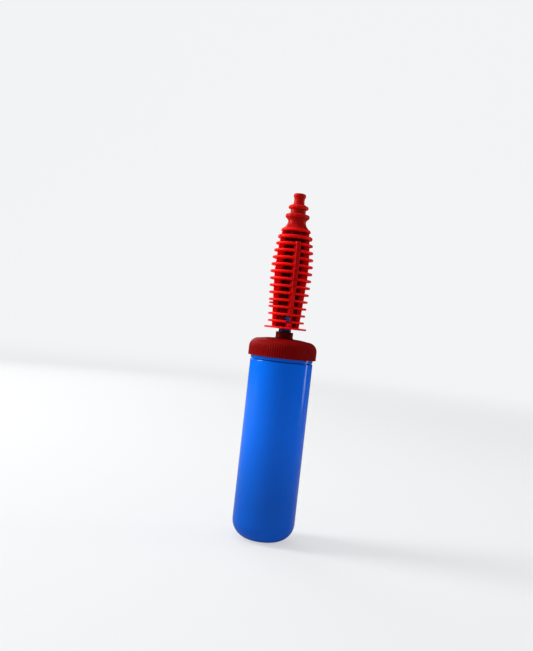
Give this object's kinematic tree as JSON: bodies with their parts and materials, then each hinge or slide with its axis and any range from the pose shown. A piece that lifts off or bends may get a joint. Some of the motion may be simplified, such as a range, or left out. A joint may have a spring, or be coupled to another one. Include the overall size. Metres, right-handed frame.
{
  "type": "balloon hand pump",
  "caption": "Double-acting hand pump for balloons: a round barrel with a ribbed end cap, a sliding tube with a valved piston, and a finned nozzle with a ringed tip.",
  "frame": {"origin": "centre of the flat foot on the barrel's closed end", "axes": "+Z along the pump's axis towards the nozzle tip; -Y is the side of the nozzle's front rail and key window"},
  "size_m": [0.055, 0.055, 0.2801],
  "materials": {
    "barrel_blue": "glossy, injection moulded",
    "cap_red": "glossy deep red, finely ribbed skirt",
    "tube_blue": "satin",
    "nozzle_red": "slightly translucent, satin",
    "natural_white": "natural polyethylene",
    "black_rubber": "matte",
    "grey_seal": "matte"
  },
  "bodies": {
    "barrel": {"barrel": "barrel_blue", "end_cap": "cap_red", "cap_gasket": "grey_seal", "gland_cage": "natural_white", "foot_valve_cage": "natural_white"},
    "piston_ring": {"piston_ring": "black_rubber"},
    "rod": {"piston_tube": "tube_blue", "piston_body": "natural_white", "piston_cover": "natural_white", "nozzle": "nozzle_red", "nozzle_seal": "black_rubber"},
    "foot_valve": {"foot_valve_disc": "black_rubber"},
    "gland_valve": {"gland_washer": "black_rubber"},
    "upper_valve": {"piston_valve_upper": "black_rubber"},
    "lower_valve": {"piston_valve_lower": "black_rubber"}
  },
  "joints": [
    {"name": "rod_slide", "type": "slide", "parent": "barrel", "child": "piston_ring", "axis": [0, 0, 1], "range_m": [0, 0.1194]},
    {"name": "rod_spin", "type": "hinge", "parent": "piston_ring", "child": "rod", "pos_m": [0, 0, 0.0165], "axis": [0, 0, 1], "continuous": true},
    {"name": "foot_valve_lift", "type": "slide", "parent": "barrel", "child": "foot_valve", "axis": [0, 0, 1], "range_m": [0, 0.0011]},
    {"name": "gland_valve_lift", "type": "slide", "parent": "barrel", "child": "gland_valve", "axis": [0, 0, 1], "range_m": [0, 0.0012]},
    {"name": "upper_valve_drop", "type": "slide", "parent": "rod", "child": "upper_valve", "axis": [0, 0, -1], "range_m": [0, 0.0009]},
    {"name": "lower_valve_lift", "type": "slide", "parent": "rod", "child": "lower_valve", "axis": [0, 0, 1], "range_m": [0, 0.0015]}
  ]
}
